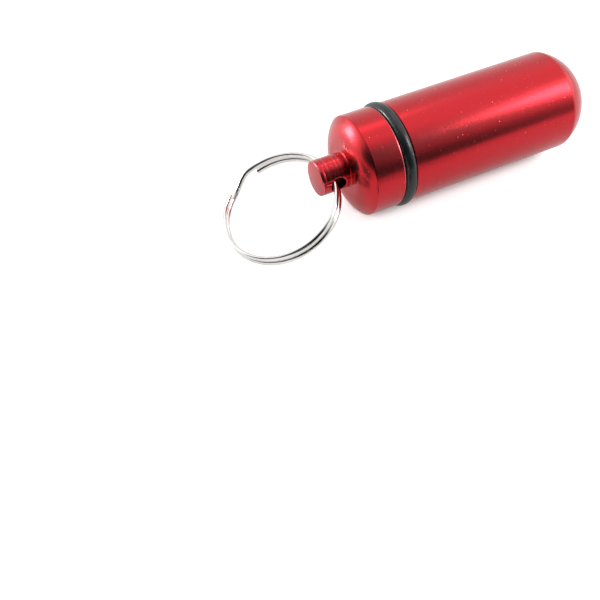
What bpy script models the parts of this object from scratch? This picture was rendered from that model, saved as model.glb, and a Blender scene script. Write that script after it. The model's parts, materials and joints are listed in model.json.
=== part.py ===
"""Keychain capsule, closed, lying on its side with its split ring resting on the table.

A turned metal tube with a domed end takes a turned cap on a screw thread. A rubber O-ring sits on
the cap's neck, between the cap's skirt and the tube's mouth. The cap ends in a lug whose cross
hole holds a split ring of two turns of wire.

Units are metres, +Z is up. The capsule's axis lies along X, the tube towards +X. Every turned
piece is drawn about its own Z axis, with Z = 0 at the tube's mouth, and the empty capsule_axis
lays that axis down along +X. The origin is the middle of the whole object's footprint.
"""
import math

import bmesh
import bpy
from mathutils import Matrix, Vector

MM = 0.001

# Tube
BODY_RADIUS = 8.5 * MM
TUBE_LENGTH = 30.8 * MM
END_DOME_DEPTH = 5.7 * MM
END_WALL = 1.3 * MM
MOUTH_WALL = 0.55 * MM
MOUTH_CHAMFER = 0.15 * MM
LEAD_IN_DEPTH = 0.6 * MM
TUBE_THREAD_LENGTH = 10.4 * MM

# Screw thread, right handed
THREAD_WALL = 0.65 * MM
THREAD_PITCH = 1.0 * MM
THREAD_DEPTH = 0.5 * MM
THREAD_CREST = 0.15 * MM
THREAD_LAND = 0.3 * MM
THREAD_FIT = 0.12 * MM
THREAD_SIDE_FIT = 0.08 * MM
THREAD_START_ANGLE = math.radians(1.7)

# Seal
SEAL_SECTION = 1.75 * MM
SEAL_FIT = 0.12 * MM

# Cap
SKIRT_LENGTH = 5.3 * MM
SKIRT_CHAMFER = 0.2 * MM
SHOULDER_DROP = 1.84 * MM
FACE_WIDTH = 0.9 * MM
CAP_FLOOR_WALL = 1.8 * MM
NECK_REACH = 4.2 * MM
NECK_WALL = 0.75 * MM
NECK_RELIEF = 0.18 * MM
NECK_RUN_OUT = 0.2 * MM
RIM_CHAMFER = 0.2 * MM

# Lug and its hole
LUG_RADIUS = 3.0 * MM
LUG_EDGE = 0.3 * MM
LUG_FILLET = 0.3 * MM
LUG_TIP_WALL = 1.48 * MM
HOLE_FOOT = 0.95 * MM
HOLE_FIT = 0.15 * MM
HOLE_TILT = math.radians(-0.8)

# Split ring: two layers of wire, joined by a joggle
RING_RADIUS = 10.0 * MM
WIRE_DIAMETER = 0.95 * MM
COIL_GAP = 0.42 * MM
JOGGLE_BULGE = 0.35 * MM
UPPER_END_ANGLE = math.radians(-52.5)
LOWER_END_ANGLE = math.radians(-90)
JOGGLE_START_ANGLE = math.radians(-84.5)
JOGGLE_KINK_ANGLE = math.radians(-77.5)
JOGGLE_FINISH_ANGLE = math.radians(-58)

# Facets and tolerances
TURNED_STEPS = 48
THREAD_STEPS = 32
DOME_STEPS = 8
SHOULDER_STEPS = 6
EDGE_STEPS = 2
HOLE_SIDES = 16
SEAL_SIDES = 10
RING_STEPS = 44
SINK = 0.06 * MM
OVERRUN = 1.0 * MM
MERGE = 0.001 * MM
SMOOTH_ANGLE = math.radians(30)
SWING_TOLERANCE = math.radians(0.001)
FULL_TURN = 2 * math.pi

# The ring's wires in the lug's hole: two layers, with the middle of each curving across
LAYER_OFFSET = (WIRE_DIAMETER + COIL_GAP) / 2
HALF_CHORD_DROP = (RING_RADIUS - math.sqrt(RING_RADIUS ** 2 - LUG_RADIUS ** 2)) / 2
RING_CENTRE_REACH = RING_RADIUS - HALF_CHORD_DROP
HOLE_RADIUS = math.hypot(LAYER_OFFSET, HALF_CHORD_DROP) + WIRE_DIAMETER / 2 + HOLE_FIT

# Radii from the tube's wall inwards
LEAD_IN_RADIUS = BODY_RADIUS - MOUTH_WALL
TUBE_ROOT_RADIUS = BODY_RADIUS - THREAD_WALL
NECK_CREST_RADIUS = TUBE_ROOT_RADIUS - THREAD_FIT
NECK_ROOT_RADIUS = NECK_CREST_RADIUS - THREAD_DEPTH
BORE_RADIUS = NECK_ROOT_RADIUS + THREAD_FIT
SHANK_RADIUS = NECK_ROOT_RADIUS - NECK_RELIEF
NECK_BORE_RADIUS = NECK_ROOT_RADIUS - NECK_WALL
RIDGE_WIDTH = THREAD_PITCH - THREAD_LAND
SEAL_CENTRE_RADIUS = SHANK_RADIUS + SEAL_FIT + SEAL_SECTION / 2
SEAL_OUTER_RADIUS = SEAL_CENTRE_RADIUS + SEAL_SECTION / 2
FACE_RADIUS = LUG_RADIUS + LUG_FILLET + FACE_WIDTH
SHOULDER_WIDTH = BODY_RADIUS - FACE_RADIUS
SHOULDER_RADIUS = (SHOULDER_WIDTH ** 2 + SHOULDER_DROP ** 2) / (2 * SHOULDER_DROP)

# Stations along the axis from the tube's mouth, the cap's side negative
SEAL_GAP = SEAL_SECTION + 2 * SEAL_FIT
RELIEF_TOP = SEAL_FIT
SKIRT_FACE = -SEAL_GAP
SHOULDER_EDGE = SKIRT_FACE - SKIRT_LENGTH
CAP_FACE = SHOULDER_EDGE - SHOULDER_DROP
HOLE_STATION = CAP_FACE - HOLE_FOOT - HOLE_RADIUS
LUG_TIP = HOLE_STATION - HOLE_RADIUS - LUG_TIP_WALL
CAP_FLOOR = CAP_FACE + CAP_FLOOR_WALL
TUBE_END = TUBE_LENGTH + END_DOME_DEPTH


def clear_scene():
    """Remove everything, so that the script gives the same result each time."""
    for scene_object in list(bpy.data.objects):
        bpy.data.objects.remove(scene_object, do_unlink=True)


def make_collection(name):
    collection = bpy.data.collections.new(name)
    bpy.context.scene.collection.children.link(collection)
    return collection


def make_material(name, colour, metallic, roughness):
    """A Principled BSDF material."""
    material = bpy.data.materials.new(name)
    material.use_nodes = True
    shader = material.node_tree.nodes["Principled BSDF"]
    shader.inputs["Base Color"].default_value = (*colour, 1.0)
    shader.inputs["Metallic"].default_value = metallic
    shader.inputs["Roughness"].default_value = roughness
    return material


def add_object(name, data, collection, parent):
    new_object = bpy.data.objects.new(name, data)
    collection.objects.link(new_object)
    new_object.parent = parent
    return new_object


def arc(centre_radius, centre_z, radius, start, finish, steps):
    """Points of an arc in the profile's plane, angles from outwards towards +Z."""
    points = []
    for step in range(steps + 1):
        angle = start + (finish - start) * step / steps
        points.append((centre_radius + radius * math.cos(angle), centre_z + radius * math.sin(angle)))
    return points


def profile_mesh(name, points, closed):
    """A profile of (radius, z) points as edges at +X."""
    mesh = bpy.data.meshes.new(name)
    edges = [(index, index + 1) for index in range(len(points) - 1)]
    if closed:
        edges.append((len(points) - 1, 0))
    mesh.from_pydata([(radius, 0, z) for radius, z in points], edges, [])
    return mesh


def add_screw(turned_object, turns, rise, steps):
    """Sweep a profile about its Z axis, rising by rise over all its turns."""
    screw = turned_object.modifiers.new("Turn", "SCREW")
    screw.axis = "Z"
    screw.angle = FULL_TURN * turns
    screw.screw_offset = rise
    screw.steps = steps
    screw.render_steps = steps
    screw.use_merge_vertices = True
    screw.merge_threshold = MERGE


def evaluated_mesh(source):
    """The mesh that an object's modifiers or curve settings give."""
    depsgraph = bpy.context.evaluated_depsgraph_get()
    return bpy.data.meshes.new_from_object(source.evaluated_get(depsgraph), depsgraph=depsgraph)


def turned_solid(name, points, collection, parent, closed=False):
    """A solid of revolution from a profile that runs down its outer side."""
    turned = add_object(name, profile_mesh(name, points, closed), collection, parent)
    add_screw(turned, 1, 0, TURNED_STEPS)
    return turned


def helical_ridge(name, radii, widths, start, turns, collection, parent):
    """A capped screw ridge: radii and widths are those at its root and its crest."""
    root, crest = radii
    root_width, crest_width = widths
    foot = root - SINK
    foot_width = root_width + (root_width - crest_width) * SINK / (crest - root)
    points = [
        (foot, foot_width / 2),
        (crest, crest_width / 2),
        (crest, -crest_width / 2),
        (foot, -foot_width / 2),
    ]
    profile = [(radius, z + start) for radius, z in points]
    ridge = add_object(name, profile_mesh(name, profile, True), collection, parent)
    ridge.rotation_euler.z = THREAD_START_ANGLE
    add_screw(ridge, turns, THREAD_PITCH * turns, int(THREAD_STEPS * turns))
    bpy.context.view_layer.update()
    mesh = evaluated_mesh(ridge)
    ridge.modifiers.clear()
    work = bmesh.new()
    work.from_mesh(mesh)
    open_edges = [edge for edge in work.edges if edge.is_boundary]
    bmesh.ops.holes_fill(work, edges=open_edges, sides=0)
    bmesh.ops.recalc_face_normals(work, faces=work.faces)
    work.to_mesh(mesh)
    work.free()
    ridge.data = mesh
    return ridge


def mark_cutter(cutter):
    """A cutter shows as wire and stays out of renders."""
    cutter.hide_render = True
    cutter.display_type = "WIRE"
    return cutter


def add_boolean(target, cutter, operation):
    boolean = target.modifiers.new(operation.title(), "BOOLEAN")
    boolean.operation = operation
    boolean.solver = "EXACT"
    boolean.object = cutter


def finish_mesh(target, material):
    """Turn the modifiers' result into the object's own mesh, smooth but for its sharp edges."""
    bpy.context.view_layer.update()
    mesh = evaluated_mesh(target)
    target.modifiers.clear()
    target.data = mesh
    mesh.name = target.name
    mesh.shade_smooth()
    mesh.set_sharp_from_angle(angle=SMOOTH_ANGLE)
    mesh.materials.clear()
    mesh.materials.append(material)


def dome_profile(edge_radius, edge_z, depth):
    """A ball-shaped end from its middle down to its edge."""
    ball_radius = (edge_radius ** 2 + depth ** 2) / (2 * depth)
    centre_z = edge_z + depth - ball_radius
    edge_angle = math.atan2(edge_z - centre_z, edge_radius)
    points = arc(0, centre_z, ball_radius, math.pi / 2, edge_angle, DOME_STEPS)
    points[0] = (0, edge_z + depth)
    return points


def make_tube(collection, cutters, axis, material):
    """The capsule's tube: domed end, bore and internal thread."""
    outside = dome_profile(BODY_RADIUS, TUBE_LENGTH, END_DOME_DEPTH)
    mouth = [
        (BODY_RADIUS, MOUTH_CHAMFER),
        (BODY_RADIUS - MOUTH_CHAMFER, 0),
        (LEAD_IN_RADIUS, 0),
        (LEAD_IN_RADIUS, LEAD_IN_DEPTH),
        (BORE_RADIUS, LEAD_IN_DEPTH + LEAD_IN_RADIUS - BORE_RADIUS),
    ]
    inside = dome_profile(BORE_RADIUS, TUBE_LENGTH, END_DOME_DEPTH - END_WALL)
    inside.reverse()
    tube = turned_solid("capsule_tube", outside + mouth + inside, collection, axis)
    groove = helical_ridge(
        "tube_thread_cutter",
        (BORE_RADIUS, TUBE_ROOT_RADIUS),
        (RIDGE_WIDTH + 2 * THREAD_SIDE_FIT, THREAD_CREST + 2 * THREAD_SIDE_FIT),
        0,
        TUBE_THREAD_LENGTH / THREAD_PITCH,
        cutters,
        axis,
    )
    add_boolean(tube, mark_cutter(groove), "DIFFERENCE")
    finish_mesh(tube, material)
    return tube


def neck_profile():
    """The cap's bore and neck, from the middle of the bore's floor to the skirt's edge."""
    return [
        (0, CAP_FLOOR),
        (NECK_BORE_RADIUS, CAP_FLOOR),
        (NECK_BORE_RADIUS, NECK_REACH),
        (NECK_ROOT_RADIUS - RIM_CHAMFER, NECK_REACH),
        (NECK_ROOT_RADIUS, NECK_REACH - RIM_CHAMFER),
        (NECK_ROOT_RADIUS, RELIEF_TOP + NECK_RELIEF),
        (SHANK_RADIUS, RELIEF_TOP),
        (SHANK_RADIUS, SKIRT_FACE),
        (BODY_RADIUS - SKIRT_CHAMFER, SKIRT_FACE),
        (BODY_RADIUS, SKIRT_FACE - SKIRT_CHAMFER),
    ]


def shoulder_profile():
    """The skirt's far edge, the rounded shoulder and the flat face, to the lug's foot."""
    centre_z = CAP_FACE + SHOULDER_RADIUS
    edge_angle = math.atan2(SHOULDER_EDGE - centre_z, SHOULDER_WIDTH)
    shoulder = arc(FACE_RADIUS, centre_z, SHOULDER_RADIUS, edge_angle, -math.pi / 2, SHOULDER_STEPS)
    fillet_centre = (LUG_RADIUS + LUG_FILLET, CAP_FACE - LUG_FILLET)
    fillet = arc(*fillet_centre, LUG_FILLET, math.pi / 2, math.pi, EDGE_STEPS)
    return shoulder + fillet


def lug_profile():
    """The lug's side, its rounded edge and its flat end."""
    edge_centre = (LUG_RADIUS - LUG_EDGE, LUG_TIP + LUG_EDGE)
    return arc(*edge_centre, LUG_EDGE, 0, -math.pi / 2, EDGE_STEPS) + [(0, LUG_TIP)]


def make_hole_cutter(collection, axis):
    """A cylinder across the lug, tilted about the capsule's axis."""
    mesh = bpy.data.meshes.new("lug_hole_cutter")
    work = bmesh.new()
    bmesh.ops.create_cone(
        work,
        cap_ends=True,
        segments=HOLE_SIDES,
        radius1=HOLE_RADIUS,
        radius2=HOLE_RADIUS,
        depth=2 * (LUG_RADIUS + OVERRUN),
    )
    work.to_mesh(mesh)
    work.free()
    cutter = add_object("lug_hole_cutter", mesh, collection, axis)
    across = Vector((math.sin(HOLE_TILT), math.cos(HOLE_TILT), 0))
    turn = across.to_track_quat("Z", "X").to_matrix().to_4x4()
    cutter.matrix_local = Matrix.Translation((0, 0, HOLE_STATION)) @ turn
    return mark_cutter(cutter)


def make_cap(collection, cutters, axis, material):
    """The screw cap: hollow threaded neck, skirt, shoulder and drilled lug in one piece."""
    cap = turned_solid("screw_cap", neck_profile() + shoulder_profile() + lug_profile(), collection, axis)
    thread_start = RELIEF_TOP + NECK_RELIEF + NECK_RUN_OUT
    thread_finish = NECK_REACH - RIM_CHAMFER - NECK_RUN_OUT
    first_turn = math.floor(thread_start / THREAD_PITCH) - 1
    last_turn = math.ceil(thread_finish / THREAD_PITCH) + 1
    ridge = helical_ridge(
        "neck_thread",
        (NECK_ROOT_RADIUS, NECK_CREST_RADIUS),
        (RIDGE_WIDTH, THREAD_CREST),
        first_turn * THREAD_PITCH,
        last_turn - first_turn,
        cutters,
        axis,
    )
    envelope_points = [
        (NECK_CREST_RADIUS + OVERRUN, thread_finish - THREAD_DEPTH - OVERRUN),
        (NECK_CREST_RADIUS + OVERRUN, thread_start + THREAD_DEPTH + OVERRUN),
        (NECK_ROOT_RADIUS, thread_start),
        (NECK_ROOT_RADIUS - OVERRUN, thread_start),
        (NECK_ROOT_RADIUS - OVERRUN, thread_finish),
        (NECK_ROOT_RADIUS, thread_finish),
    ]
    envelope = turned_solid("neck_thread_envelope", envelope_points, cutters, axis, closed=True)
    add_boolean(ridge, mark_cutter(envelope), "INTERSECT")
    add_boolean(cap, mark_cutter(ridge), "UNION")
    add_boolean(cap, make_hole_cutter(cutters, axis), "DIFFERENCE")
    finish_mesh(cap, material)
    return cap


def make_seal(collection, axis, material):
    """The rubber O-ring between the skirt and the tube's mouth."""
    section = arc(SEAL_CENTRE_RADIUS, -SEAL_GAP / 2, SEAL_SECTION / 2, math.pi, -math.pi, SEAL_SIDES)[:-1]
    seal = turned_solid("o_ring", section, collection, axis, closed=True)
    finish_mesh(seal, material)
    return seal


def ring_angles():
    """Angles of the wire's points, from the upper layer's end round twice to the lower layer's."""
    start = UPPER_END_ANGLE
    finish = LOWER_END_ANGLE + 2 * FULL_TURN
    count = round(RING_STEPS * (finish - start) / FULL_TURN)
    return [start + (finish - start) * index / count for index in range(count + 1)]


def joggle_share(angle):
    """How far the wire has crossed from the upper layer to the lower one, 0 to 1."""
    start = JOGGLE_START_ANGLE + FULL_TURN
    finish = JOGGLE_FINISH_ANGLE + FULL_TURN
    share = min(max((angle - start) / (finish - start), 0), 1)
    return share * share * (3 - 2 * share)


def bulge_share(angle):
    """How far the kink before the joggle stands out, 0 to 1."""
    kink = JOGGLE_KINK_ANGLE + FULL_TURN
    reach = JOGGLE_FINISH_ANGLE - JOGGLE_KINK_ANGLE
    return max(1 - abs(angle - kink) / reach, 0)


def ring_points():
    """The wire's centre line, from the hole's middle: X towards the ring's centre, Y along the hole."""
    points = []
    for angle in ring_angles():
        radius = RING_RADIUS + JOGGLE_BULGE * bulge_share(angle)
        height = LAYER_OFFSET * (1 - 2 * joggle_share(angle))
        x = RING_CENTRE_REACH + radius * math.cos(angle)
        points.append(Vector((x, radius * math.sin(angle), height)))
    return points


def ring_basis(swing):
    """The ring's axes in the object's frame, with its centre swing below level."""
    hole = Vector((0, -math.cos(HOLE_TILT), math.sin(HOLE_TILT)))
    down = Vector((0, -math.sin(HOLE_TILT), -math.cos(HOLE_TILT)))
    away = Vector((-math.cos(swing), 0, 0)) + down * math.sin(swing)
    return Matrix((away, hole, away.cross(hole))).transposed()


def resting_swing(points):
    """The swing at which the ring's far side just touches the table."""
    level, steep = 0, math.pi / 3
    while steep - level > SWING_TOLERANCE:
        middle = (level + steep) / 2
        basis = ring_basis(middle)
        lowest = min((basis @ point).z for point in points) - WIRE_DIAMETER / 2
        if lowest + SEAL_OUTER_RADIUS > 0:
            level = middle
        else:
            steep = middle
    return level


def least_coil_gap(points):
    """The least gap between one stretch of wire and another, a quarter turn or more along."""
    apart = RING_STEPS // 4
    pairs = ((a, b) for a in range(len(points)) for b in range(a + apart, len(points)))
    return min((points[a] - points[b]).length for a, b in pairs) - WIRE_DIAMETER


def make_ring(points, basis, collection, axis_location, material):
    """The split ring, turned about the middle of the lug's hole."""
    curve = bpy.data.curves.new("split_ring", "CURVE")
    curve.dimensions = "3D"
    curve.bevel_depth = WIRE_DIAMETER / 2
    curve.bevel_resolution = 2
    curve.use_fill_caps = True
    spline = curve.splines.new("POLY")
    spline.points.add(len(points) - 1)
    for spline_point, point in zip(spline.points, points):
        spline_point.co = (*point, 1)
    ring = add_object("split_ring", curve, collection, None)
    hole_middle = axis_location + Vector((HOLE_STATION, 0, 0))
    ring.matrix_world = Matrix.Translation(hole_middle) @ basis.to_4x4()
    curve.materials.append(material)
    return ring


def main():
    clear_scene()
    parts = make_collection("keychain_capsule")
    cutters = make_collection("cutters")
    red_metal = make_material("anodised_red", (0.56, 0.016, 0.035), 1.0, 0.28)
    cap_metal = make_material("anodised_red_cap", (0.56, 0.016, 0.035), 1.0, 0.28)
    rubber = make_material("black_rubber", (0.018, 0.022, 0.022), 0.0, 0.5)
    steel = make_material("nickel_plated_steel", (0.72, 0.71, 0.68), 1.0, 0.18)

    points = ring_points()
    basis = ring_basis(resting_swing(points))
    lying = [basis @ point + Vector((HOLE_STATION, 0, 0)) for point in points]
    left = min(point.x for point in lying) - WIRE_DIAMETER / 2
    near = min(point.y for point in lying) - WIRE_DIAMETER / 2
    far = max(point.y for point in lying) + WIRE_DIAMETER / 2
    axis_location = Vector((-(left + TUBE_END) / 2, -(near + far) / 2, SEAL_OUTER_RADIUS))

    axis = bpy.data.objects.new("capsule_axis", None)
    parts.objects.link(axis)
    axis.location = axis_location
    axis.rotation_euler = (0, math.pi / 2, 0)

    make_tube(parts, cutters, axis, red_metal)
    make_cap(parts, cutters, axis, cap_metal)
    make_seal(parts, axis, rubber)
    ring = make_ring(points, basis, parts, axis_location, steel)
    bpy.context.view_layer.update()

    print("axis through", [round(value / MM, 4) for value in axis_location])
    print("ring hinge", [round(value / MM, 4) for value in ring.matrix_world.translation])
    print("ring lies", round(math.degrees(resting_swing(points)), 3), "degrees below level")
    print("least gap between the ring's turns", round(least_coil_gap(points) / MM, 3), "mm")


main()
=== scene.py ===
"""Looks of the keychain capsule: fine meshes, finishes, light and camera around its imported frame.

Every piece stands where its node stands in the frame. Turned pieces are drawn as outlines of
(radius, station) points. A station is measured along +X from the tube's mouth, and an angle about
the axis from straight down towards +Y.
"""
import json
import math

import bmesh
import bpy
from mathutils import Matrix, Vector


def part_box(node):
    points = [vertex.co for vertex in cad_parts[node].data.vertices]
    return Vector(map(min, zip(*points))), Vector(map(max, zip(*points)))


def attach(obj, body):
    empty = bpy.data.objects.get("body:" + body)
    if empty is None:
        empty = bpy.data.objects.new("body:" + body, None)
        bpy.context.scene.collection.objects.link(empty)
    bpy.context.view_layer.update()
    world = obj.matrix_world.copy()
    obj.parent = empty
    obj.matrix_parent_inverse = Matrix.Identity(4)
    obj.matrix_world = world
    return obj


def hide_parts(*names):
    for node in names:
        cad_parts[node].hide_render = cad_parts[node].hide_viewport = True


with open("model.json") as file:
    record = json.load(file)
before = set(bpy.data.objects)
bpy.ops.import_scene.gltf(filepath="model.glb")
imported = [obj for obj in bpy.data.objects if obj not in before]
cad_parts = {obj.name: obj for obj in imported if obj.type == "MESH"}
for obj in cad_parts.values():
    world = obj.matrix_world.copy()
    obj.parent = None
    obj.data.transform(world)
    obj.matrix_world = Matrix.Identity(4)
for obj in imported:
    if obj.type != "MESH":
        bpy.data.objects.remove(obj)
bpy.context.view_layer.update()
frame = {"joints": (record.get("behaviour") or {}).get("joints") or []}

MM = 0.001
FULL_TURN = 2 * math.pi
QUARTER_TURN = math.pi / 2
ALONG = Vector((1, 0, 0))

# The frame's own places; the hole's axis points towards -Y, and its side upwards
TUBE_LOW, TUBE_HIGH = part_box("capsule_tube")
CAP_LOW, CAP_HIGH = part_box("screw_cap")
SEAL_LOW, SEAL_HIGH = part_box("o_ring")
RING_JOINT = next(joint for joint in frame["joints"] if joint["name"] == "ring_swing")
MOUTH = Vector((TUBE_LOW.x, (TUBE_LOW.y + TUBE_HIGH.y) / 2, (TUBE_LOW.z + TUBE_HIGH.z) / 2))
BODY_RADIUS = (TUBE_HIGH.y - TUBE_LOW.y) / 2
TUBE_END = TUBE_HIGH.x - TUBE_LOW.x
NECK_RIM = CAP_HIGH.x - TUBE_LOW.x
LUG_TIP = CAP_LOW.x - TUBE_LOW.x
SEAL_OUTER_RADIUS = (SEAL_HIGH.y - SEAL_LOW.y) / 2
HOLE_MIDDLE = Vector(RING_JOINT["pos_m"])
HOLE_AXIS = -Vector(RING_JOINT["axis"]).normalized()
HOLE_SIDE = HOLE_AXIS.cross(ALONG).normalized()
HOLE_STATION = HOLE_MIDDLE.x - TUBE_LOW.x

# Tube
END_DOME_DEPTH = 5.7 * MM
END_WALL = 1.3 * MM
MOUTH_WALL = 0.55 * MM
LEAD_IN_DEPTH = 0.6 * MM
TUBE_THREAD_END = 10.4 * MM

# Screw thread, right handed; its widths are those at the foot and at the crest
BORE_RADIUS = 7.35 * MM
THREAD_PITCH = 1.0 * MM
THREAD_DEPTH = 0.5 * MM
GROOVE_WIDTHS = (0.86 * MM, 0.31 * MM)
RIDGE_WIDTHS = (0.7 * MM, 0.15 * MM)
THREAD_PHASE = math.radians(1.7)
THREAD_FADE = 0.55 * MM

# Cap
NECK_ROOT_RADIUS = 7.23 * MM
SHANK_RADIUS = 7.05 * MM
NECK_BORE_RADIUS = 6.48 * MM
SEAL_GAP = 1.99 * MM
NECK_THREAD_START = 0.4 * MM
NECK_RELIEF = 0.18 * MM
SEAL_FIT = 0.12 * MM
RIM_CHAMFER = 0.2 * MM
SKIRT_LENGTH = 5.3 * MM
SHOULDER_DROP = 1.84 * MM
SHOULDER_FACE = -SEAL_GAP - SKIRT_LENGTH - SHOULDER_DROP
FACE_RADIUS = 4.2 * MM
CAP_FLOOR_WALL = 1.8 * MM

# Lug and its hole
LUG_RADIUS = 3.0 * MM
LUG_EDGE = 0.22 * MM
LUG_FILLET = 0.22 * MM
HOLE_RADIUS = 1.348 * MM
HOLE_ROUNDING = 0.14 * MM
HOLE_NET_REACH = math.radians(45)
GROOVE_HEIGHT = 0.8 * MM
GROOVE_HALF_WIDTH = 0.06 * MM
GROOVE_DEPTH = 0.02 * MM
WALL_MARGIN = 0.1 * MM

# O-ring, with the rounded square section of a squeezed one
SEAL_INNER_RADIUS = 7.12 * MM
SEAL_SIDE_ROOM = 0.03 * MM
SEAL_SQUARENESS = 2.3
MOULD_LINE_DEPTH = 0.015 * MM

# Split ring; its angles run about its middle, from its far side towards -Y
RING_RADIUS = 9.85 * MM
RING_REACH = 9.86 * MM
RING_DROP = math.radians(23.48)
WIRE_HALF_WIDTH = 0.4 * MM
WIRE_HALF_HEIGHT = 0.54 * MM
WIRE_END_ROUNDING = 0.08 * MM
LOWER_LAYER = -0.62 * MM
UPPER_LAYER = 0.74 * MM
JOGGLE_BULGE = 0.2 * MM
UPPER_END_ANGLE = math.radians(-52.5)
LOWER_END_ANGLE = math.radians(-90)
JOGGLE_START_ANGLE = math.radians(-84.5)
JOGGLE_KINK_ANGLE = math.radians(-77.5)
JOGGLE_FINISH_ANGLE = math.radians(-58)

# How far the small edges are rounded along both their sides
EDGE_REACH = 0.12 * MM
RIM_REACH = 0.06 * MM
SKIRT_EDGE_REACH = 0.42 * MM
END_CREASE_REACH = 0.2 * MM
THREAD_EDGE_REACH = 0.05 * MM

# Fineness
TURNED_COLUMNS = 192
DOME_STEPS = 36
SHOULDER_STEPS = 20
CORNER_STEPS = 4
EDGE_STEPS = 5
HOLE_ROWS = 16
HOLE_RINGS = 6
HOLE_WALL_RINGS = 8
SEAL_POINTS = 40
RING_STEPS = 260
WIRE_SIDES = 28
WIRE_END_STEPS = 3
JOIN_DISTANCE = 0.0005 * MM

# Noises: waves in a mm, detail, roughness
FINE_MARKS = (9.0, 4.0, 0.65)
BROAD_MARKS = (1.6, 2.0, 0.5)
METAL_GRAIN = (7.0, 3.0, 0.6)
METAL_CLOUD = (0.35, 2.0, 0.5)
RUBBER_CLOUD = (0.8, 3.0, 0.5)
RUBBER_SKIN = (12.0, 3.0, 0.6)
WIRE_LINES = (1.0, 3.0, 0.6)
WIRE_CLOUD = (1.1, 2.0, 0.5)

# Factors on a noise's coordinates: marks run round the capsule's axis, and lines along the wire
MARK_STRETCH = (1.0, 0.015, 0.015)
LINE_STRETCH = (0.12, 26.0, 0.0)

# The values that most of a noise lies between
NOISE_REACH = (0.3, 0.7)
MARK_REACH = (0.25, 0.75)

# Specks of dust: cells in a mm, radius in mm, share of the cells that hold one
METAL_SPECKS = (0.85, 0.085, 0.35)
METAL_DOTS = (2.2, 0.055, 0.45)
RUBBER_SPECKS = (1.6, 0.08, 0.5)
SPECK_CORE_SHARE = 0.4
DOT_STRENGTH = 0.5

# Red anodised metal
ANODISED_RED = (0.61, 0.007, 0.017, 1)
ANODISED_DEEP = (0.54, 0.005, 0.013, 1)
# A pale pink painted on edges and turned rings as a highlight
PAINTED_HIGHLIGHT_PINK = (0.92, 0.5, 0.53, 1)
METAL_DUST = (0.86, 0.42, 0.44, 1)
CLOUD_SHARE = 0.25
METAL_ROUGHNESS = (0.15, 0.2)
GRAIN_ROUGHNESS = 0.05
DUST_ROUGHNESS = 0.3
DUST_METALLIC = 0.35
MARK_DEPTH = 0.0015 * MM
BROAD_MARK_DEPTH = 0.003 * MM

# Painted highlights, as a paler tone on edges and turned rings: station, half width of core and whole,
# share
PAINTED_HIGHLIGHT_RINGS = [
    (-SEAL_GAP - 0.13 * MM, 0.09 * MM, 0.2 * MM, 0.85),
    (LUG_TIP + 0.13 * MM, 0.05 * MM, 0.12 * MM, 0.3),
    (LUG_TIP + GROOVE_HEIGHT, 0.03 * MM, 0.08 * MM, 0.1),
    (LUG_TIP + 1.5 * MM, 0.05 * MM, 0.2 * MM, 0.1),
    (LUG_TIP + 2.5 * MM, 0.05 * MM, 0.15 * MM, 0.05),
    (LUG_TIP + 3.1 * MM, 0.05 * MM, 0.2 * MM, 0.1),
    (LUG_TIP + 3.8 * MM, 0.05 * MM, 0.15 * MM, 0.08),
]

# Black rubber
RUBBER_BLACK = (0.009, 0.013, 0.014, 1)
RUBBER_BLOOM = (0.018, 0.024, 0.025, 1)
RUBBER_DUST = (0.35, 0.36, 0.36, 1)
RUBBER_ROUGHNESS = (0.2, 0.3)
RUBBER_SKIN_DEPTH = 0.006 * MM

# Nickel plate
NICKEL_BRIGHT = (0.93, 0.92, 0.90, 1)
NICKEL_DULL = (0.86, 0.85, 0.82, 1)
NICKEL_ROUGHNESS = (0.04, 0.12)
WIRE_LINE_DEPTH = 0.003 * MM

# Camera
CAMERA_PLACE = Vector((-68.169, -97.68, 114.729)) * MM
CAMERA_PITCH = math.radians(51.316)
CAMERA_YAW = math.radians(26.226)
CAMERA_LENS = 55.805
CAMERA_SENSOR = 36

# Lamps: name, azimuth and elevation in degrees, distance, width, height, level
LAMPS = [
    ("key_lamp", 120, 39, 240 * MM, 70 * MM, 80 * MM, 9.0),
    ("top_lamp", 36, 58, 200 * MM, 40 * MM, 40 * MM, 1.0),
    ("window", -50, 6, 200 * MM, 50 * MM, 80 * MM, 20.0),
]

# Room: azimuth and elevation of a patch, its inner and outer angle, what it adds or the share it takes
ROOM_LEVEL = 0.9
BRIGHT_PATCHES = [
    (-42, 5, 15, 45, 0.5),
    (75, 58, 10, 42, 0.27),
    (129, 42, 4, 22, 0.2),
    (98, 14, 8, 28, 0.9),
]
DARK_PATCHES = [
    (171, 6, 20, 36, 0.93),
    (164, 45, 8, 29, 0.85),
    (-175, 58, 8, 25, 0.85),
    (-112, 66, 7, 25, 0.9),
    (-93, 6, 8, 18, 0.85),
    (150, 62, 5, 22, 0.5),
    (-165, 25, 22, 42, 0.9),
    (-130, 20, 20, 40, 0.86),
    (-108, 16, 14, 34, 0.8),
]

# Floor: what the camera sees of it, a glow dimmed near the object as a painted contact shadow, and a
# painted pool of light and painted shade that only show mirrored in the metal
FLOOR_SIZE = 6000 * MM
FLOOR_TONE = (0.8, 0.8, 0.8, 1)
# The glow the camera sees fades where the floor is closed in: a painted contact shadow
FLOOR_SEEN_LIGHT = 0.75
FLOOR_OPEN_REACH = 20 * MM
FLOOR_PAINTED_SHADOW_OPENNESS = (0.12, 0.32)
FLOOR_MIRRORED_LIGHT = 0.2
# A painted pool of light on the floor, shown only mirrored in the metal
FLOOR_PAINTED_LIGHT_PLACE = Vector((-51, 27, 0)) * MM
FLOOR_PAINTED_LIGHT_REACH = (15 * MM, 45 * MM)
FLOOR_PAINTED_LIGHT_LEVEL = 0.3
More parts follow.
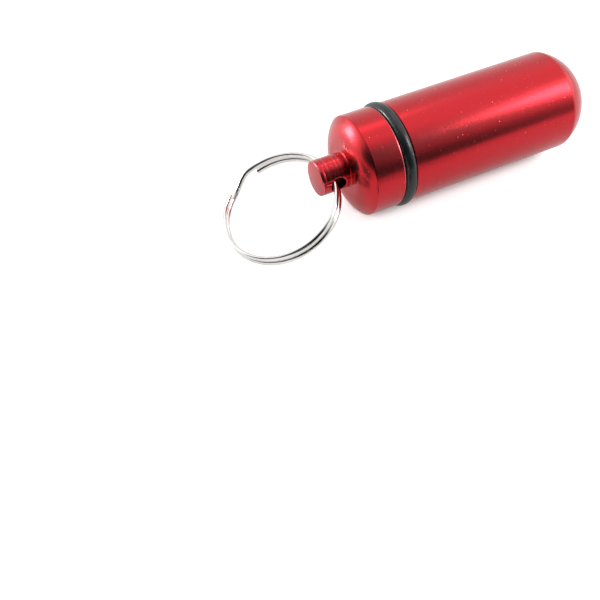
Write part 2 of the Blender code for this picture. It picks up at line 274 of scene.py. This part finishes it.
# Places of painted shade on the floor, shown only mirrored in the metal
FLOOR_PAINTED_SHADE_PLACES = [
    (Vector((-56, -7, 0)) * MM, (7 * MM, 16 * MM)),
    (Vector((-88, -8, 0)) * MM, (18 * MM, 32 * MM)),
    (Vector((-22, -40, 0)) * MM, (12 * MM, 21 * MM)),
    (Vector((10, -118, 0)) * MM, (1 * MM, 75 * MM)),
]
FLOOR_PAINTED_SHADE_TONE = (0.08, 0.07, 0.07, 1)


def place(radius, station, angle):
    """A point about the capsule's axis, in the frame."""
    return MOUTH + Vector((station, radius * math.sin(angle), -radius * math.cos(angle)))


def eased(share):
    """A share held between 0 and 1, which leaves 0 and reaches 1 gently."""
    share = min(max(share, 0), 1)
    return share * share * (3 - 2 * share)


def arc(centre_radius, centre_station, radius, start, finish, steps):
    """Points of an arc in an outline, angles from outwards towards +X."""
    points = []
    for step in range(steps + 1):
        angle = start + (finish - start) * step / steps
        across = centre_radius + radius * math.cos(angle)
        points.append((across, centre_station + radius * math.sin(angle)))
    return points


def curve_between(start, corner, finish, steps):
    """Points of the curve that leaves start towards corner and comes in to finish from it."""
    points = []
    for step in range(steps + 1):
        share = step / steps
        points.append(start * (1 - share) ** 2 + corner * 2 * share * (1 - share) + finish * share ** 2)
    return points


def softened(points, reaches):
    """An outline whose corners are rounded, each as far along both its sides as its reach says."""
    outline = []
    for index, point in enumerate(points):
        reach = reaches.get(index)
        if reach is None:
            outline.append(tuple(point))
            continue
        corner = Vector(point)
        start = corner + (Vector(points[index - 1]) - corner).normalized() * reach
        finish = corner + (Vector(points[index + 1]) - corner).normalized() * reach
        outline += [tuple(middle) for middle in curve_between(start, corner, finish, CORNER_STEPS)]
    return outline


def dome_outline(edge_radius, edge_station, depth):
    """A ball-shaped end from its middle to its edge."""
    ball_radius = (edge_radius ** 2 + depth ** 2) / (2 * depth)
    centre = edge_station + depth - ball_radius
    edge_angle = math.atan2(edge_station - centre, edge_radius)
    points = arc(0, centre, ball_radius, QUARTER_TURN, edge_angle, DOME_STEPS)
    points[0] = (0, edge_station + depth)
    return points


class Turning:
    """Gathers bands of faces about the capsule's axis and joins them into one closed mesh."""

    def __init__(self, first_angle=0.0):
        self.work = bmesh.new()
        self.angles = []
        for column in range(TURNED_COLUMNS):
            self.angles.append(first_angle + FULL_TURN * column / TURNED_COLUMNS)

    def add_row(self, points):
        """The vertices of one row."""
        return [self.work.verts.new(point) for point in points]

    def add_loops(self, rows):
        """Faces between closed rows of as many points."""
        for lower, upper in zip(rows, rows[1:]):
            for column in range(len(lower)):
                after = (column + 1) % len(lower)
                self.work.faces.new((lower[column], lower[after], upper[after], upper[column]))

    def add_strips(self, columns):
        """Faces between open columns, as far up as both neighbours reach."""
        for left, right in zip(columns, columns[1:]):
            for row in range(min(len(left), len(right)) - 1):
                self.work.faces.new((left[row], right[row], right[row + 1], left[row + 1]))

    def add_band(self, outline):
        """Turn an outline of (radius, station) points."""
        rows = []
        for radius, station in outline:
            rows.append(self.add_row(place(radius, station, angle) for angle in self.angles))
        self.add_loops(rows)

    def add_thread(self, root_radius, widths, start, finish):
        """Turn a stretch that carries the screw thread: a ridge on the neck, a groove in the bore.

        The rows climb with the thread, one set for each turn. Past the stretch's ends they are
        held at its ends, where the thread has faded out, so they close on plain circles.
        """
        root_width, crest_width = widths
        corners = [
            (-THREAD_PITCH / 2, 0),
            (-root_width / 2, 0),
            (-crest_width / 2, THREAD_DEPTH),
            (crest_width / 2, THREAD_DEPTH),
            (root_width / 2, 0),
            (THREAD_PITCH / 2, 0),
        ]
        inner = range(1, len(corners) - 1)
        tooth = softened(corners, {index: THREAD_EDGE_REACH for index in inner})[:-1]
        first_turn = math.floor(start / THREAD_PITCH) - 1
        last_turn = math.ceil(finish / THREAD_PITCH) + 1
        columns = []
        for angle in self.angles:
            climb = THREAD_PITCH * (angle - THREAD_PHASE) / FULL_TURN
            column = []
            for turn in range(first_turn, last_turn + 1):
                for offset, height in tooth:
                    station = min(max(turn * THREAD_PITCH + climb + offset, start), finish)
                    fade = eased(min(station - start, finish - station) / THREAD_FADE)
                    column.append(place(root_radius + height * fade, station, angle))
            columns.append(self.add_row(column))
        columns.append(columns[0][len(tooth):])
        self.add_strips(columns)

    def finish(self, name, material):
        """Join what touches, and make the object."""
        bmesh.ops.remove_doubles(self.work, verts=self.work.verts, dist=JOIN_DISTANCE)
        bmesh.ops.recalc_face_normals(self.work, faces=self.work.faces)
        return finish_piece(name, self.work, material)


def finish_piece(name, work, material):
    """A smooth-shaded object from a bmesh, whose large faces lead its normals."""
    mesh = bpy.data.meshes.new(name)
    work.to_mesh(mesh)
    work.free()
    mesh.shade_smooth()
    mesh.materials.append(material)
    piece = bpy.data.objects.new(name, mesh)
    bpy.context.scene.collection.objects.link(piece)
    normals = piece.modifiers.new("Even shading", "WEIGHTED_NORMAL")
    normals.keep_sharp = True
    return piece


def make_tube(material):
    """The tube: domed end with its crease, chamfered mouth, threaded bore."""
    dome_edge = TUBE_END - END_DOME_DEPTH
    mouth_radius = BODY_RADIUS - MOUTH_WALL
    thread_start = LEAD_IN_DEPTH + mouth_radius - BORE_RADIUS
    outside = dome_outline(BODY_RADIUS, dome_edge, END_DOME_DEPTH)
    crease = len(outside) - 1
    outside += [
        (BODY_RADIUS, 0),
        (mouth_radius, 0),
        (mouth_radius, LEAD_IN_DEPTH),
        (BORE_RADIUS, thread_start),
    ]
    reaches = {
        crease: END_CREASE_REACH,
        crease + 1: EDGE_REACH,
        crease + 2: EDGE_REACH,
        crease + 3: RIM_REACH,
    }
    inside = dome_outline(BORE_RADIUS, dome_edge, END_DOME_DEPTH - END_WALL)
    inside.reverse()
    turning = Turning()
    turning.add_band(softened(outside, reaches))
    turning.add_thread(BORE_RADIUS, GROOVE_WIDTHS, thread_start, TUBE_THREAD_END)
    turning.add_band([(BORE_RADIUS, TUBE_THREAD_END)] + inside)
    return turning.finish("tube_body", material)


def neck_outline():
    """The cap's bore, from the middle of its floor, out over the neck's rim to the thread."""
    floor = SHOULDER_FACE + CAP_FLOOR_WALL
    points = [
        (0, floor),
        (NECK_BORE_RADIUS, floor),
        (NECK_BORE_RADIUS, NECK_RIM),
        (NECK_ROOT_RADIUS - RIM_CHAMFER, NECK_RIM),
        (NECK_ROOT_RADIUS, NECK_RIM - RIM_CHAMFER),
    ]
    return softened(points, {1: EDGE_REACH, 2: RIM_REACH, 3: RIM_REACH})


def skirt_outline():
    """From the thread's foot over the seat of the O-ring, the skirt, the shoulder and the face."""
    skirt_face = -SEAL_GAP
    shoulder_edge = skirt_face - SKIRT_LENGTH
    width = BODY_RADIUS - FACE_RADIUS
    radius = (width ** 2 + SHOULDER_DROP ** 2) / (2 * SHOULDER_DROP)
    centre = SHOULDER_FACE + radius
    edge_angle = math.atan2(shoulder_edge - centre, width)
    shoulder = arc(FACE_RADIUS, centre, radius, edge_angle, -QUARTER_TURN, SHOULDER_STEPS)
    points = [
        (NECK_ROOT_RADIUS, NECK_THREAD_START),
        (NECK_ROOT_RADIUS, SEAL_FIT + NECK_RELIEF),
        (SHANK_RADIUS, SEAL_FIT),
        (SHANK_RADIUS, skirt_face),
        (BODY_RADIUS, skirt_face),
    ]
    crease = len(points)
    return softened(points + shoulder, {3: RIM_REACH, 4: SKIRT_EDGE_REACH, crease: EDGE_REACH})


def lug_foot_outline():
    """The fillet between the cap's face and the lug's wall."""
    centre = (LUG_RADIUS + LUG_FILLET, SHOULDER_FACE - LUG_FILLET)
    return arc(*centre, LUG_FILLET, QUARTER_TURN, 2 * QUARTER_TURN, EDGE_STEPS)


def lug_end_outline():
    """The lug's wall past the hole, its fine turned groove, its rounded edge and its end."""
    groove = LUG_TIP + GROOVE_HEIGHT
    points = [
        (LUG_RADIUS, groove + GROOVE_HALF_WIDTH),
        (LUG_RADIUS - GROOVE_DEPTH, groove),
        (LUG_RADIUS, groove - GROOVE_HALF_WIDTH),
    ]
    edge = arc(LUG_RADIUS - LUG_EDGE, LUG_TIP + LUG_EDGE, LUG_EDGE, 0, -QUARTER_TURN, EDGE_STEPS)
    return points + edge + [(0, LUG_TIP)]


def on_lug(angle, station, facing):
    """A point on the lug's wall, its angle from the hole's axis; facing is 1 or -1, for either mouth."""
    across = HOLE_AXIS * math.cos(angle) * facing + HOLE_SIDE * math.sin(angle)
    return MOUTH + ALONG * station + across * LUG_RADIUS


def in_hole(turn, radius, depth, facing):
    """A point about the hole's axis, its depth from the lug's axis towards the mouth of facing."""
    middle = MOUTH + ALONG * (HOLE_STATION + radius * math.sin(turn))
    return middle + HOLE_SIDE * radius * math.cos(turn) + HOLE_AXIS * depth * facing


def add_hole_mouth(turning, border, facing):
    """The net of faces from a border in the lug's wall to the hole, and the hole's rounded edge.

    The border is a ring of (angle, station). The last ring comes back, for the hole's own wall.
    """
    turns = [math.atan2(station - HOLE_STATION, LUG_RADIUS * angle) for angle, station in border]
    rim_radius = HOLE_RADIUS + HOLE_ROUNDING
    rings = []
    for ring in range(HOLE_RINGS + 1):
        share = ring / HOLE_RINGS
        points = []
        for (angle, station), turn in zip(border, turns):
            rim_angle = math.asin(rim_radius * math.cos(turn) / LUG_RADIUS)
            rim_station = HOLE_STATION + rim_radius * math.sin(turn)
            middle_angle = angle + (rim_angle - angle) * share
            middle_station = station + (rim_station - station) * share
            points.append(on_lug(middle_angle, middle_station, facing))
        rings.append(turning.add_row(points))
    edge_curves = []
    for turn in turns:
        rim_depth = math.sqrt(LUG_RADIUS ** 2 - (rim_radius * math.cos(turn)) ** 2)
        edge_depth = math.sqrt(LUG_RADIUS ** 2 - (HOLE_RADIUS * math.cos(turn)) ** 2)
        start = in_hole(turn, rim_radius, rim_depth, facing)
        corner = in_hole(turn, HOLE_RADIUS, edge_depth, facing)
        finish = in_hole(turn, HOLE_RADIUS, edge_depth - HOLE_ROUNDING, facing)
        edge_curves.append(curve_between(start, corner, finish, CORNER_STEPS)[1:])
    rings += [turning.add_row(points) for points in zip(*edge_curves)]
    turning.add_loops(rings)
    return rings[-1]


def add_drilled_wall(turning, low, high):
    """The lug's wall between two stations, with the cross hole.

    A quarter of the wall about each mouth of the hole is a net, whose border lies on the rows and
    columns of the plain faces round it.
    """
    half_columns = round(HOLE_NET_REACH / FULL_TURN * TURNED_COLUMNS)
    step = FULL_TURN / TURNED_COLUMNS
    stations = [low + (high - low) * row / HOLE_ROWS for row in range(HOLE_ROWS + 1)]
    border = [(column * step, low) for column in range(-half_columns, half_columns)]
    border += [(half_columns * step, station) for station in stations[:-1]]
    border += [(column * step, high) for column in range(half_columns, -half_columns, -1)]
    border += [(-half_columns * step, station) for station in reversed(stations[1:])]
    near = add_hole_mouth(turning, border, 1)
    far = add_hole_mouth(turning, border, -1)
    rings = [near]
    for ring in range(1, HOLE_WALL_RINGS):
        share = ring / HOLE_WALL_RINGS
        rings.append(turning.add_row(a.co.lerp(b.co, share) for a, b in zip(near, far)))
    turning.add_loops(rings + [far])
    beside_hole = range(half_columns, TURNED_COLUMNS // 2 - half_columns + 1)
    for sense in (1, -1):
        columns = []
        for column in beside_hole:
            angle = column * step * sense
            columns.append(turning.add_row(on_lug(angle, station, 1) for station in stations))
        turning.add_strips(columns)


def make_cap(material):
    """The screw cap: hollow threaded neck, skirt, shoulder, face and drilled lug.

    The first column runs through the hole's middle, so the net about the hole meets the columns.
    """
    hole_angle = math.atan2(HOLE_AXIS.y, -HOLE_AXIS.z)
    neck = neck_outline()
    foot = lug_foot_outline()
    end = lug_end_outline()
    thread_finish = neck[-1][1]
    wall_high = foot[-1][1]
    wall_low = end[0][1] + WALL_MARGIN
    turning = Turning(hole_angle)
    turning.add_band(neck)
    turning.add_thread(NECK_ROOT_RADIUS, RIDGE_WIDTHS, NECK_THREAD_START, thread_finish)
    turning.add_band(skirt_outline() + foot)
    add_drilled_wall(turning, wall_low, wall_high)
    turning.add_band([(LUG_RADIUS, wall_low)] + end)
    return turning.finish("cap_body", material)


def make_seal(material):
    """The O-ring, with a rounded square section and its faint mould line."""
    half_width = SEAL_GAP / 2 - SEAL_SIDE_ROOM
    half_depth = (SEAL_OUTER_RADIUS - SEAL_INNER_RADIUS) / 2
    middle_radius = SEAL_OUTER_RADIUS - half_depth
    power = 2 / SEAL_SQUARENESS
    outline = []
    for index in range(SEAL_POINTS + 1):
        angle = math.pi - FULL_TURN * index / SEAL_POINTS
        across, along = math.cos(angle), math.sin(angle)
        radius = middle_radius + half_depth * math.copysign(abs(across) ** power, across)
        station = -SEAL_GAP / 2 + half_width * math.copysign(abs(along) ** power, along)
        outline.append((radius, station))
    mould_line = SEAL_POINTS // 2
    for beside in (mould_line - 1, mould_line + 1):
        radius, station = outline[beside]
        outline[beside] = (radius - MOULD_LINE_DEPTH, station)
    turning = Turning()
    turning.add_band(outline)
    return turning.finish("seal_ring", material)


def ring_centre_line():
    """The wire's centre line in the ring's axes: two layers, joined by a joggle."""
    start = UPPER_END_ANGLE
    finish = LOWER_END_ANGLE + 2 * FULL_TURN
    count = round(RING_STEPS * (finish - start) / FULL_TURN)
    joggle_span = JOGGLE_FINISH_ANGLE - JOGGLE_START_ANGLE
    bulge_span = JOGGLE_FINISH_ANGLE - JOGGLE_KINK_ANGLE
    points = []
    for index in range(count + 1):
        angle = start + (finish - start) * index / count
        crossed = eased((angle - JOGGLE_START_ANGLE - FULL_TURN) / joggle_span)
        bulge = max(1 - abs(angle - JOGGLE_KINK_ANGLE - FULL_TURN) / bulge_span, 0)
        radius = RING_RADIUS + JOGGLE_BULGE * bulge
        height = UPPER_LAYER + (LOWER_LAYER - UPPER_LAYER) * crossed
        points.append(Vector((RING_REACH + radius * math.cos(angle), radius * math.sin(angle), height)))
    return points


def ring_axes():
    """The ring's axes in the frame: away from the hole, along the hole, and square to both."""
    away = -ALONG * math.cos(RING_DROP) - HOLE_SIDE * math.sin(RING_DROP)
    return Matrix((away, HOLE_AXIS, away.cross(HOLE_AXIS))).transposed()


def rounded_end(centre, tangent, travelled, sense):
    """The sections that round a cut end of the wire, from the wire outwards."""
    sections = []
    for step in reversed(range(WIRE_END_STEPS)):
        angle = QUARTER_TURN * step / WIRE_END_STEPS
        shift = tangent * sense * WIRE_END_ROUNDING * math.cos(angle)
        inset = WIRE_END_ROUNDING * (1 - math.sin(angle))
        sections.append((centre + shift, tangent, travelled, inset))
    return sections


def wire_sections(line):
    """Centre, tangent, length along the wire and inset of each section, with the cut ends."""
    last = len(line) - 1
    sections = []
    travelled = 0.0
    for index, centre in enumerate(line):
        before = line[max(index - 1, 0)]
        after = line[min(index + 1, last)]
        travelled += (centre - before).length
        sections.append((centre, (after - before).normalized(), travelled, 0))
    start = rounded_end(*sections[0][:3], -1)
    finish = rounded_end(*sections[-1][:3], 1)
    return start[::-1] + sections + finish


def make_ring(material):
    """The split ring: drawn wire with cut ends, in two turns one above the other."""
    axes = ring_axes()
    flat = axes.col[2]
    work = bmesh.new()
    along_wire = work.loops.layers.uv.new("along_wire")
    rows = []
    lengths = []
    line = [HOLE_MIDDLE + axes @ point for point in ring_centre_line()]
    for centre, tangent, travelled, inset in wire_sections(line):
        outwards = tangent.cross(flat).normalized()
        upwards = outwards.cross(tangent)
        row = []
        for side in range(WIRE_SIDES):
            turn = FULL_TURN * side / WIRE_SIDES
            across = outwards * math.cos(turn) * (WIRE_HALF_WIDTH - inset)
            rise = upwards * math.sin(turn) * (WIRE_HALF_HEIGHT - inset)
            row.append(work.verts.new(centre + across + rise))
        rows.append(row)
        lengths.append(travelled)
    for index, (lower, upper) in enumerate(zip(rows, rows[1:])):
        for side in range(WIRE_SIDES):
            after = (side + 1) % WIRE_SIDES
            face = work.faces.new((lower[side], lower[after], upper[after], upper[side]))
            spots = [(index, side), (index, side + 1), (index + 1, side + 1), (index + 1, side)]
            for loop, (row, turn) in zip(face.loops, spots):
                loop[along_wire].uv = (lengths[row] / MM, turn / WIRE_SIDES)
    work.faces.new(rows[0])
    work.faces.new(rows[-1])
    bmesh.ops.recalc_face_normals(work, faces=work.faces)
    return finish_piece("key_ring", work, material)


class Nodes:
    """Adds nodes to a tree; each method returns the output that the next node takes."""

    def __init__(self, tree):
        self.tree = tree

    def add(self, kind, inputs, output=0, **settings):
        """A node with its inputs set or linked; returns the output asked for."""
        node = self.tree.nodes.new(kind)
        for key, value in settings.items():
            setattr(node, key, value)
        for key, value in inputs.items():
            self.feed(node.inputs[key], value)
        return node.outputs[output]

    def feed(self, socket, value):
        """Link an output to the socket, or set the socket to a plain value."""
        if isinstance(value, bpy.types.NodeSocket):
            self.tree.links.new(value, socket)
        else:
            socket.default_value = value

    def math(self, operation, *values):
        return self.add("ShaderNodeMath", dict(enumerate(values)), operation=operation)

    def vector_math(self, operation, first, second, output="Vector"):
        return self.add("ShaderNodeVectorMath", {0: first, 1: second}, output, operation=operation)

    def range(self, value, low, high, to_low, to_high):
        """Value taken from low..high to to_low..to_high, eased and held at the ends."""
        inputs = {"Value": value, "From Min": low, "From Max": high, "To Min": to_low, "To Max": to_high}
        return self.add("ShaderNodeMapRange", inputs, interpolation_type="SMOOTHSTEP")

    def blend(self, share, first, second):
        """From the first colour at a share of 0 to the second at 1."""
        return self.add("ShaderNodeMix", {0: share, 6: first, 7: second}, 2, data_type="RGBA")

    def ray(self, kind):
        """1 for rays of a kind, as Light Path names it, and 0 for others."""
        return self.add("ShaderNodeLightPath", {}, kind)


class Finish(Nodes):
    """A material's nodes, with the shader that every finish ends in."""

    def __init__(self, name):
        self.material = bpy.data.materials.new(name)
        self.material.use_nodes = True
        super().__init__(self.material.node_tree)
        self.shader = self.tree.nodes["Principled BSDF"]
        place_m = self.add("ShaderNodeTexCoord", {}, "Object")
        self.place_mm = self.vector_math("MULTIPLY", place_m, (1 / MM, 1 / MM, 1 / MM))

    def noise(self, vector, scale, detail, roughness):
        inputs = {"Vector": vector, "Scale": scale, "Detail": detail, "Roughness": roughness}
        return self.add("ShaderNodeTexNoise", inputs)

    def bump(self, height, depth, normal=None):
        """The surface raised by a pattern of the given depth, over the normal if there is one."""
        inputs = {"Height": height, "Strength": 1.0, "Distance": depth}
        if normal is not None:
            inputs["Normal"] = normal
        return self.add("ShaderNodeBump", inputs)

    def specks(self, scale, radius, share):
        """A mask of small round specks: cells in a mm, radius in mm, share of cells with one."""
        inputs = {"Vector": self.place_mm, "Scale": scale}
        distance = self.add("ShaderNodeTexVoronoi", inputs, "Distance")
        reach = radius * scale
        near = self.range(distance, reach * SPECK_CORE_SHARE, reach, 1.0, 0.0)
        cell = self.add("ShaderNodeSeparateColor", {0: distance.node.outputs["Color"]})
        return self.math("MULTIPLY", near, self.math("LESS_THAN", cell, share))

    def set(self, **values):
        """Set or link the shader's inputs, by name with underscores for spaces."""
        for key, value in values.items():
            self.feed(self.shader.inputs[key.replace("_", " ")], value)


def painted_highlight_share(finish):
    """The share of painted highlight in the tone, on edges and turned rings."""
    station = finish.add("ShaderNodeSeparateXYZ", {0: finish.place_mm})
    pale = 0.0
    for middle, core, whole, share in PAINTED_HIGHLIGHT_RINGS:
        away = finish.math("ABSOLUTE", finish.math("SUBTRACT", station, (MOUTH.x + middle) / MM))
        pale = finish.math("MAXIMUM", pale, finish.range(away, core / MM, whole / MM, share, 0.0))
    return pale


def anodised_finish():
    """Turned aluminium under red anodising: fine turning marks, grain, sealed gloss and dust, with
    painted highlights on edges and turned rings.
    """
    finish = Finish("anodised_red")
    along = finish.vector_math("MULTIPLY", finish.place_mm, MARK_STRETCH)
    marks = finish.noise(along, *FINE_MARKS)
    broad_marks = finish.noise(along, *BROAD_MARKS)
    grain = finish.noise(finish.place_mm, *METAL_GRAIN)
    cloud = finish.noise(finish.place_mm, *METAL_CLOUD)
    dots = finish.math("MULTIPLY", finish.specks(*METAL_DOTS), DOT_STRENGTH)
    dust = finish.math("MAXIMUM", finish.specks(*METAL_SPECKS), dots)
    tone = finish.blend(finish.range(grain, *NOISE_REACH, 0.0, 1.0), ANODISED_RED, ANODISED_DEEP)
    tone = finish.blend(finish.range(cloud, *NOISE_REACH, 0.0, CLOUD_SHARE), tone, ANODISED_DEEP)
    # Painted highlights: the pale tone on the skirt's edge, the lug's end and its turned rings
    tone = finish.blend(painted_highlight_share(finish), tone, PAINTED_HIGHLIGHT_PINK)
    gloss = finish.range(marks, *MARK_REACH, *METAL_ROUGHNESS)
    gloss = finish.math("ADD", gloss, finish.range(grain, *NOISE_REACH, 0.0, GRAIN_ROUGHNESS))
    gloss = finish.math("ADD", gloss, finish.math("MULTIPLY", dust, DUST_ROUGHNESS))
    relief = finish.bump(marks, MARK_DEPTH)
    relief = finish.bump(broad_marks, BROAD_MARK_DEPTH, relief)
    relief = finish.bump(grain, MARK_DEPTH, relief)
    finish.set(
        Base_Color=finish.blend(dust, tone, METAL_DUST),
        Metallic=finish.range(dust, 0.0, 1.0, 1.0, DUST_METALLIC),
        Roughness=gloss,
        Normal=relief,
        Anisotropic=0.35,
        Coat_Weight=0.5,
        Coat_Roughness=0.32,
        Coat_IOR=1.55,
        Tangent=finish.add("ShaderNodeTangent", {}, direction_type="RADIAL", axis="X"),
    )
    return finish.material


def rubber_finish():
    """Black rubber with a faint bloom and a little dust."""
    finish = Finish("black_rubber")
    cloud = finish.noise(finish.place_mm, *RUBBER_CLOUD)
    skin = finish.noise(finish.place_mm, *RUBBER_SKIN)
    dust = finish.specks(*RUBBER_SPECKS)
    tone = finish.blend(finish.range(cloud, *NOISE_REACH, 0.0, 1.0), RUBBER_BLACK, RUBBER_BLOOM)
    finish.set(
        Base_Color=finish.blend(dust, tone, RUBBER_DUST),
        Roughness=finish.range(skin, *NOISE_REACH, *RUBBER_ROUGHNESS),
        Normal=finish.bump(skin, RUBBER_SKIN_DEPTH),
    )
    return finish.material


def steel_finish():
    """Bright nickel plate on drawn wire, with faint lines along it."""
    finish = Finish("nickel_plate")
    wire = finish.add("ShaderNodeUVMap", {}, uv_map="along_wire")
    lines = finish.noise(finish.vector_math("MULTIPLY", wire, LINE_STRETCH), *WIRE_LINES)
    cloud = finish.noise(finish.place_mm, *WIRE_CLOUD)
    finish.set(
        Base_Color=finish.blend(finish.range(cloud, *NOISE_REACH, 0.0, 1.0), NICKEL_BRIGHT, NICKEL_DULL),
        Metallic=1.0,
        Roughness=finish.range(lines, *NOISE_REACH, *NICKEL_ROUGHNESS),
        Normal=finish.bump(lines, WIRE_LINE_DEPTH),
    )
    return finish.material


def direction(azimuth, elevation):
    """A direction from the object, in degrees, azimuth from +Y towards +X."""
    turn, rise = math.radians(azimuth), math.radians(elevation)
    return Vector((math.sin(turn) * math.cos(rise), math.cos(turn) * math.cos(rise), math.sin(rise)))


def make_lamp(name, azimuth, elevation, distance, width, height, level):
    """A soft box that shows in the metal as a patch of the given level, where 1 is white."""
    lamp = bpy.data.lights.new(name, "AREA")
    lamp.shape = "RECTANGLE"
    lamp.size = width
    lamp.size_y = height
    lamp.energy = level * math.pi * width * height
    holder = bpy.data.objects.new(name, lamp)
    way = direction(azimuth, elevation)
    holder.location = way * distance
    holder.rotation_euler = way.to_track_quat("Z", "Y").to_euler()
    bpy.context.scene.collection.objects.link(holder)


def make_room():
    """The room as a world: pale, with darker patches on the camera's side; the camera sees white."""
    world = bpy.data.worlds.new("studio")
    bpy.context.scene.world = world
    world.use_nodes = True
    nodes = Nodes(world.node_tree)
    background = world.node_tree.nodes["Background"]
    background.inputs["Color"].default_value = (1, 1, 1, 1)
    towards = nodes.add("ShaderNodeTexCoord", {}, "Generated")

    def patch(azimuth, elevation, inner, outer, at_edge, in_middle):
        """A value that changes softly inside a round patch of the room."""
        facing = nodes.vector_math("DOT_PRODUCT", towards, direction(azimuth, elevation), "Value")
        edges = [math.cos(math.radians(angle)) for angle in (outer, inner)]
        return nodes.range(facing, *edges, at_edge, in_middle)

    level = ROOM_LEVEL
    for *shape, share in BRIGHT_PATCHES:
        level = nodes.math("ADD", level, patch(*shape, 0.0, share))
    for *shape, share in DARK_PATCHES:
        level = nodes.math("MULTIPLY", level, patch(*shape, 1.0, 1 - share))
    inputs = {"Factor": nodes.ray("Is Camera Ray"), "A": level, "B": 1.0}
    nodes.feed(background.inputs["Strength"], nodes.add("ShaderNodeMix", inputs, "Result"))


def floor_paper():
    """White paper that keeps its real shadow, with a painted contact shadow in its glow; mirrored, it
    has one painted pool of light and a few places of painted shade.
    """
    material = bpy.data.materials.new("floor_paper")
    material.use_nodes = True
    nodes = Nodes(material.node_tree)
    nodes.tree.nodes.remove(nodes.tree.nodes["Principled BSDF"])
    place_on_floor = nodes.add("ShaderNodeTexCoord", {}, "Object")

    def near(middle, reach):
        """1 within the first distance of a place, 0 past the second."""
        away = nodes.vector_math("DISTANCE", place_on_floor, middle, "Value")
        return nodes.range(away, reach[1], reach[0], 0.0, 1.0)

    # Painted contact shadow: the glow that the camera sees fades with ambient occlusion
    openness = nodes.add("ShaderNodeAmbientOcclusion", {"Distance": FLOOR_OPEN_REACH}, "AO")
    glow_with_painted_shadow = nodes.range(openness, *FLOOR_PAINTED_SHADOW_OPENNESS, 0.0, FLOOR_SEEN_LIGHT)
    # Painted shade: glow and tone fall away near a few places, for glossy rays only
    outside_painted_shade = 1.0
    for middle, reach in FLOOR_PAINTED_SHADE_PLACES:
        outside_painted_shade = nodes.math("MULTIPLY", outside_painted_shade, nodes.math("SUBTRACT", 1.0, near(middle, reach)))
    # Painted pool of light: extra glow near one place, for glossy rays only
    painted_light_share = near(FLOOR_PAINTED_LIGHT_PLACE, FLOOR_PAINTED_LIGHT_REACH)
    mirrored = nodes.math("MULTIPLY_ADD", painted_light_share, FLOOR_PAINTED_LIGHT_LEVEL, FLOOR_MIRRORED_LIGHT)
    mirrored = nodes.math("MULTIPLY", mirrored, outside_painted_shade)
    mirrored = nodes.math("MULTIPLY", mirrored, nodes.ray("Is Glossy Ray"))
    light = nodes.math("MULTIPLY_ADD", glow_with_painted_shadow, nodes.ray("Is Camera Ray"), mirrored)
    # Painted shade: the paper's tone darkens there for glossy rays
    painted_shade = nodes.math("SUBTRACT", 1.0, outside_painted_shade)
    painted_shade = nodes.math("MULTIPLY", painted_shade, nodes.ray("Is Glossy Ray"))
    tone = nodes.blend(painted_shade, FLOOR_TONE, FLOOR_PAINTED_SHADE_TONE)
    paper = nodes.add("ShaderNodeBsdfDiffuse", {"Color": tone})
    glow = nodes.add("ShaderNodeEmission", {"Strength": light})
    both = nodes.add("ShaderNodeAddShader", {0: paper, 1: glow})
    nodes.feed(nodes.tree.nodes["Material Output"].inputs["Surface"], both)
    return material


def make_floor():
    """A plain white floor under the object."""
    mesh = bpy.data.meshes.new("floor")
    work = bmesh.new()
    bmesh.ops.create_grid(work, x_segments=1, y_segments=1, size=FLOOR_SIZE / 2)
    work.to_mesh(mesh)
    work.free()
    mesh.materials.append(floor_paper())
    floor = bpy.data.objects.new("floor", mesh)
    bpy.context.scene.collection.objects.link(floor)


def make_camera():
    """The photograph's view."""
    data = bpy.data.cameras.new("camera")
    data.lens = CAMERA_LENS
    data.sensor_width = CAMERA_SENSOR
    data.clip_start = MM
    camera = bpy.data.objects.new("camera", data)
    camera.location = CAMERA_PLACE
    camera.rotation_euler = (QUARTER_TURN - CAMERA_PITCH, 0, -CAMERA_YAW)
    bpy.context.scene.collection.objects.link(camera)
    bpy.context.scene.camera = camera


def dress(piece, body, node):
    """A piece rides on its body and stands for its node, which is hidden."""
    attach(piece, body)
    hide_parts(node)


def main():
    bpy.context.scene.view_settings.view_transform = "Standard"
    make_camera()
    make_floor()
    make_room()
    for lamp in LAMPS:
        make_lamp(*lamp)
    red = anodised_finish()
    dress(make_tube(red), "tube", "capsule_tube")
    dress(make_cap(red), "cap", "screw_cap")
    dress(make_seal(rubber_finish()), "seal", "o_ring")
    dress(make_ring(steel_finish()), "ring", "split_ring")


main()
